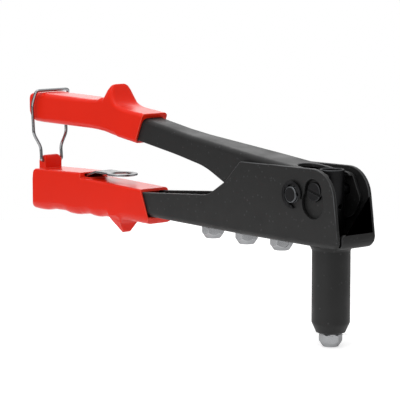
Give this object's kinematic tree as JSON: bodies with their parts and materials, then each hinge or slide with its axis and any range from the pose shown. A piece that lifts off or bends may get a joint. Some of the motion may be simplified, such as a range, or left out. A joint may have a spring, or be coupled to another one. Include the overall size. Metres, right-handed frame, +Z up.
{
  "type": "hand riveter",
  "caption": "Two-handed blind rivet setting tool: bent sheet-steel arms, red grips, a barrel with a hex nosepiece and stored spares, and a wire latch.",
  "frame": {"origin": "centre of the fitted nosepiece's tip, on the barrel's axis", "axes": "+Z runs up the barrel's axis, from the nosepiece into the head; +X points out of the head's open front; the grips lie towards -X; -Y is the side of the retaining clip"},
  "size_m": [0.2729, 0.0309, 0.1254],
  "materials": {
    "black_steel": "black coating, satin, finely speckled",
    "red_plastic": "semi-gloss moulded",
    "zinc": "bright zinc plating",
    "bare_steel": "turned and hardened, oiled"
  },
  "bodies": {
    "frame": {"body_frame": "black_steel", "barrel": "black_steel", "pivot_pin": "bare_steel", "retaining_clip": "bare_steel", "lower_grip": "red_plastic", "opening_spring": "zinc"},
    "lever": {"lever_arm": "black_steel", "upper_grip": "red_plastic"},
    "jaw_head": {"jaw_carrier": "black_steel", "jaw_case": "bare_steel", "jaw_front": "bare_steel", "jaw_rear": "bare_steel", "jaw_pusher": "bare_steel", "jaw_spring": "zinc", "trunnion_screw_near": "bare_steel", "trunnion_screw_far": "bare_steel"},
    "lock_wire": {"lock_wire": "zinc"},
    "spanner": {"spanner": "zinc"},
    "nosepiece_32": {"nosepiece_32": "zinc"},
    "nosepiece_24": {"nosepiece_24": "zinc"},
    "nosepiece_40": {"nosepiece_40": "zinc"},
    "nosepiece_48": {"nosepiece_48": "zinc"}
  },
  "joints": [
    {"name": "handle_pivot", "type": "hinge", "parent": "frame", "child": "lever", "pos_m": [-0.015, 0, 0.0787], "axis": [0, -1, 0], "range_deg": [0, 2.9], "stiffness_Nm_per_rad": 1.5, "springref_deg": -28.65, "deforming": ["opening_spring"]},
    {"name": "jaw_lift", "type": "slide", "parent": "frame", "child": "jaw_head", "axis": [0, 0, 1], "range_m": [0, 0.0008]},
    {"name": "lock_wire_swing", "type": "hinge", "parent": "frame", "child": "lock_wire", "pos_m": [-0.2439, 0, 0.0758], "axis": [0, -1, 0], "range_deg": [0, 110]},
    {"name": "spanner_draw", "type": "slide", "parent": "frame", "child": "spanner", "axis": [1, 0, 0], "range_m": [0, 0.03]},
    {"name": "nosepiece_32_unscrew", "type": "slide", "parent": "frame", "child": "nosepiece_32", "axis": [0, 0, -1], "range_m": [0, 0.012]},
    {"name": "nosepiece_24_unscrew", "type": "slide", "parent": "frame", "child": "nosepiece_24", "axis": [0, 0, -1], "range_m": [0, 0.012]},
    {"name": "nosepiece_40_unscrew", "type": "slide", "parent": "frame", "child": "nosepiece_40", "axis": [0, 0, -1], "range_m": [0, 0.012]},
    {"name": "nosepiece_48_unscrew", "type": "slide", "parent": "frame", "child": "nosepiece_48", "axis": [0, 0, -1], "range_m": [0, 0.012]}
  ],
  "couplings": [
    {"joint": "jaw_lift", "follows": "handle_pivot", "m_per_rad": 0.01494}
  ]
}
